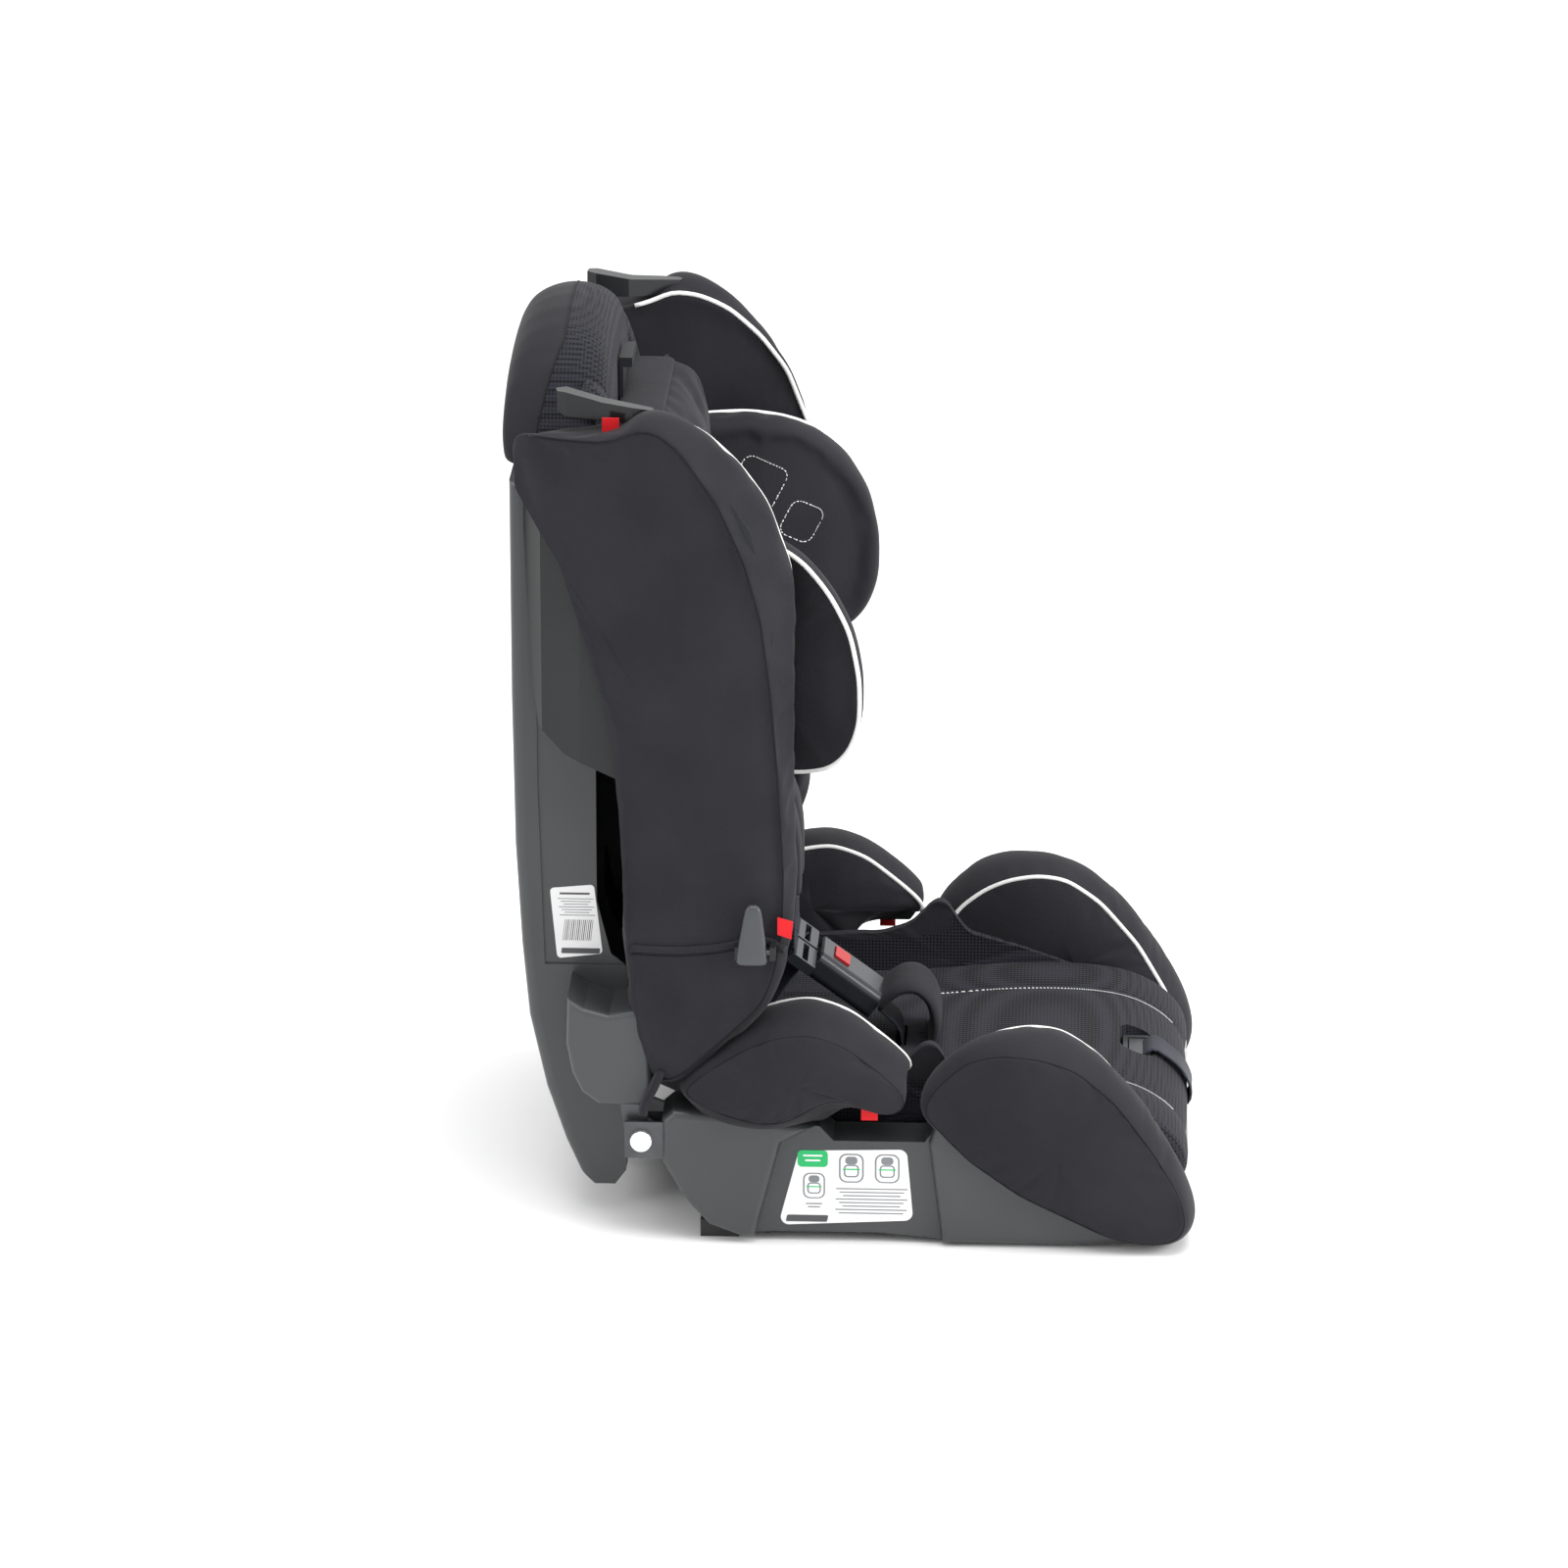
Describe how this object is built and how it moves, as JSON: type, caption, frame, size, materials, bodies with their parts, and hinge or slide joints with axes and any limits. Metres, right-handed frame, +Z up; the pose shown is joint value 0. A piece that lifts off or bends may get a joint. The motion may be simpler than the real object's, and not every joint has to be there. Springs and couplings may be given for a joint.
{
  "type": "convertible child car seat",
  "caption": "Child car seat with a booster base, reclining winged back, sliding padded headrest, armrests and a buckled harness.",
  "frame": {"origin": "on the floor, under the middle of the seat's overall box", "axes": "+X to the front of the seat, +Y to the seated child's left, +Z up; the seat is mirror-symmetric about the plane Y = 0 apart from its two labels"},
  "size_m": [0.5, 0.458, 0.652],
  "materials": {
    "shell_plastic": "satin moulded polypropylene, fine texture",
    "grey_plastic": "satin moulded nylon",
    "gloss_black": "polished black nylon",
    "red_plastic": "smooth red",
    "black_knit": "smooth stretch knit with white piping and topstitching",
    "mesh_fabric": "ribbed spacer mesh",
    "webbing": "woven polyester webbing, dark blue-grey",
    "red_webbing": "woven red tape",
    "dark_steel": "black zinc on pressed steel",
    "bright_steel": "bright zinc plate",
    "foot_rubber": "matte black",
    "label_paper": "white gloss sticker"
  },
  "bodies": {
    "base": {"base_shell": "shell_plastic", "rubber_feet": "foot_rubber", "hinge_bracket_right": "dark_steel", "hinge_bracket_left": "dark_steel", "recline_pin_right": "bright_steel", "recline_pin_left": "bright_steel", "pin_clips": "bright_steel", "armrest_shell_right": "grey_plastic", "armrest_shell_left": "grey_plastic", "armrest_pad_right": "black_knit", "armrest_pad_left": "black_knit", "seat_cushion": "mesh_fabric", "thigh_bolster_right": "black_knit", "thigh_bolster_left": "black_knit", "adjuster_housing": "shell_plastic", "adjuster_strap": "webbing", "buckle_body": "grey_plastic", "buckle_tongue_right": "grey_plastic", "buckle_tongue_left": "grey_plastic", "crotch_strap": "webbing", "crotch_pad": "black_knit", "crotch_anchor": "bright_steel", "hip_strap_right": "webbing", "hip_strap_left": "webbing", "armrest_belt_tags": "red_webbing", "base_label": "label_paper"},
    "back": {"back_shell": "shell_plastic", "hinge_lug_right": "dark_steel", "hinge_lug_left": "dark_steel", "recline_rack_right": "dark_steel", "recline_rack_left": "dark_steel", "wing_shell_right": "shell_plastic", "wing_shell_left": "shell_plastic", "wing_cover_right": "black_knit", "wing_cover_left": "black_knit", "back_cushion": "mesh_fabric", "column_cover": "black_knit", "guide_rods": "bright_steel", "rod_mounts": "shell_plastic", "height_rack": "shell_plastic", "shoulder_guide_right": "gloss_black", "shoulder_guide_left": "gloss_black", "back_belt_tags": "red_webbing", "lockoff_pins": "bright_steel", "shoulder_strap_right": "webbing", "shoulder_strap_left": "webbing", "shoulder_pad_right": "black_knit", "shoulder_pad_left": "black_knit", "back_label": "label_paper"},
    "headrest": {"headrest_shell": "shell_plastic", "headrest_slider": "grey_plastic", "headrest_pad": "black_knit", "headrest_wing_right": "black_knit", "headrest_wing_left": "black_knit"},
    "headrest_release": {"headrest_release": "grey_plastic"},
    "recline_handle": {"recline_handle": "grey_plastic"},
    "buckle_button": {"buckle_button": "red_plastic"},
    "adjuster_button": {"adjuster_button": "grey_plastic"},
    "lockoff_right": {"lockoff_lever_right": "grey_plastic"},
    "lockoff_left": {"lockoff_lever_left": "grey_plastic"}
  },
  "joints": [
    {"name": "recline", "type": "hinge", "parent": "base", "child": "back", "pos_m": [-0.153, 0, 0.079], "axis": [0, -1, 0], "range_deg": [0, 23]},
    {"name": "headrest_height", "type": "slide", "parent": "back", "child": "headrest", "axis": [0, 0, 1], "range_m": [0, 0.12]},
    {"name": "headrest_pull", "type": "slide", "parent": "headrest", "child": "headrest_release", "axis": [0, 0, 1], "range_m": [0, 0.008], "stiffness_N_per_m": 600, "springref_m": -0.004},
    {"name": "recline_pull", "type": "slide", "parent": "base", "child": "recline_handle", "axis": [1, 0, 0], "range_m": [0, 0.01], "stiffness_N_per_m": 800, "springref_m": -0.005},
    {"name": "buckle_press", "type": "slide", "parent": "base", "child": "buckle_button", "axis": [-0.596, 0, -0.803], "range_m": [0, 0.003], "stiffness_N_per_m": 900, "springref_m": -0.003},
    {"name": "adjuster_press", "type": "slide", "parent": "base", "child": "adjuster_button", "axis": [0, 0, -1], "range_m": [0, 0.004], "stiffness_N_per_m": 700, "springref_m": -0.004},
    {"name": "lockoff_right_swing", "type": "hinge", "parent": "back", "child": "lockoff_right", "pos_m": [-0.07, -0.223, 0.23], "axis": [1, 0, 0], "range_deg": [0, 70]},
    {"name": "lockoff_left_swing", "type": "hinge", "parent": "back", "child": "lockoff_left", "pos_m": [-0.07, 0.223, 0.23], "axis": [-1, 0, 0], "range_deg": [0, 70]}
  ]
}
